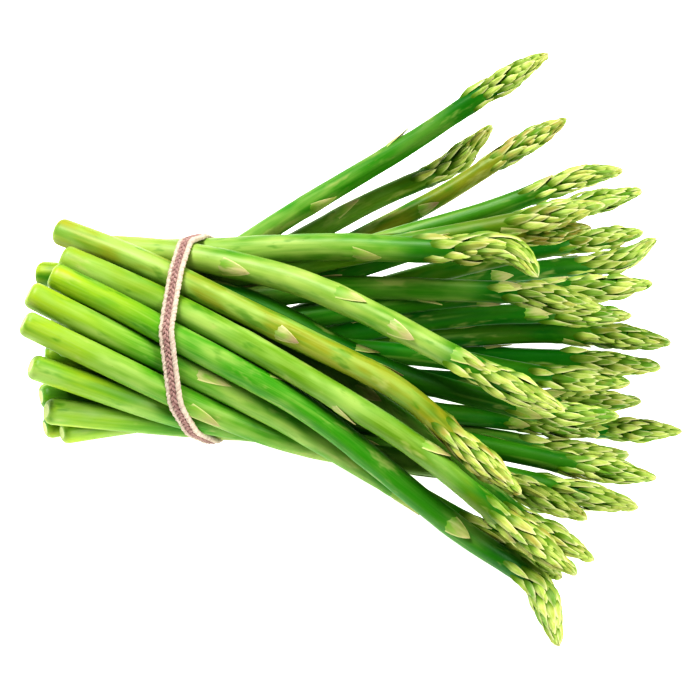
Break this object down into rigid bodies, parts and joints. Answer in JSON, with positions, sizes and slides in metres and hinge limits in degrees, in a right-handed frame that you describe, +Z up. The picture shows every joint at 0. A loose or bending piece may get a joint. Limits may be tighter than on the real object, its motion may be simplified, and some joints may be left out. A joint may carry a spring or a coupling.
{
  "type": "bundle of asparagus",
  "caption": "Fresh green asparagus spears lying as one bundle, gathered by a flat braided twine tie, with the tips fanned out.",
  "frame": {"origin": "bottom centre of the bundle's bounding box, on the surface that it lies on", "axes": "+X along the bundle toward the tips, +Z up"},
  "size_m": [0.2646, 0.2182, 0.1267],
  "materials": {
    "spear_pale_green": "satin",
    "spear_mid_green": "satin",
    "spear_deep_green": "satin",
    "twine": "matte"
  },
  "bodies": {
    "root": {"spear_01": "spear_pale_green", "spear_02": "spear_pale_green", "spear_03": "spear_pale_green", "spear_04": "spear_pale_green", "spear_05": "spear_pale_green", "spear_06": "spear_pale_green", "spear_07": "spear_mid_green", "spear_08": "spear_mid_green", "spear_09": "spear_mid_green", "spear_10": "spear_pale_green", "spear_11": "spear_mid_green", "spear_12": "spear_mid_green", "spear_13": "spear_mid_green", "spear_14": "spear_mid_green", "spear_15": "spear_mid_green", "spear_16": "spear_deep_green", "spear_17": "spear_pale_green", "spear_18": "spear_mid_green", "spear_19": "spear_pale_green", "spear_20": "spear_deep_green", "spear_21": "spear_mid_green", "spear_22": "spear_mid_green", "spear_23": "spear_pale_green", "spear_24": "spear_mid_green", "spear_25": "spear_deep_green", "spear_26": "spear_deep_green", "spear_27": "spear_mid_green", "spear_28": "spear_mid_green", "spear_29": "spear_mid_green", "spear_30": "spear_mid_green", "spear_31": "spear_mid_green", "tie": "twine"}
  },
  "joints": []
}
